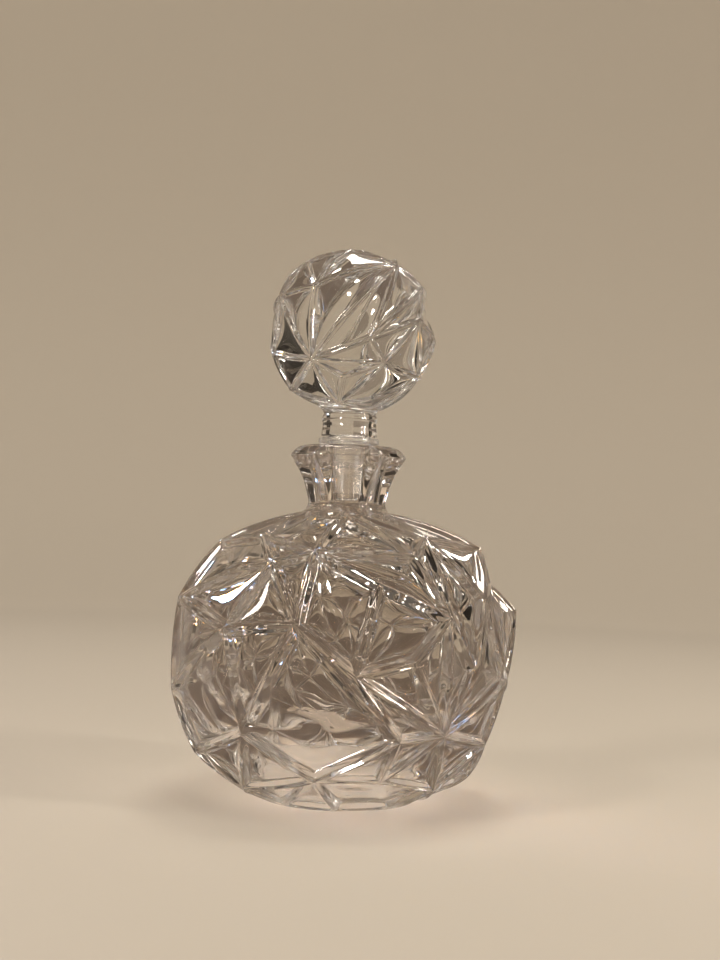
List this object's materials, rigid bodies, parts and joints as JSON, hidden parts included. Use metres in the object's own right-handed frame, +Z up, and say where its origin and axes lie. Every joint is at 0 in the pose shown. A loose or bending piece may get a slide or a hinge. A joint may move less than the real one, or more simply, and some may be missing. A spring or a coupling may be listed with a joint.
{
  "type": "perfume bottle",
  "caption": "Squat rock-cut crystal scent bottle with a short panelled neck, flared collar and a rock-cut ball stopper that lifts out and turns in a thin clear liner.",
  "frame": {"origin": "middle of the flat foot", "axes": "+Z up along the neck and the stopper; -Y is the front seen in the picture"},
  "size_m": [0.0735, 0.073, 0.1176],
  "materials": {
    "clear_crystal": "pressed and polished, clear",
    "clear_crystal_stopper": "pressed and polished, clear",
    "clear_plastic": "clear, slightly milky"
  },
  "bodies": {
    "bottle": {"bottle_body": "clear_crystal"},
    "liner": {"stopper_sleeve": "clear_plastic"},
    "stopper": {"stopper": "clear_crystal_stopper"}
  },
  "joints": [
    {"name": "stopper_lift", "type": "slide", "parent": "bottle", "child": "liner", "axis": [0, 0, 1], "range_m": [0, 0.03]},
    {"name": "stopper_turn", "type": "hinge", "parent": "liner", "child": "stopper", "pos_m": [0, 0, 0.077], "axis": [0, 0, 1], "continuous": true}
  ]
}
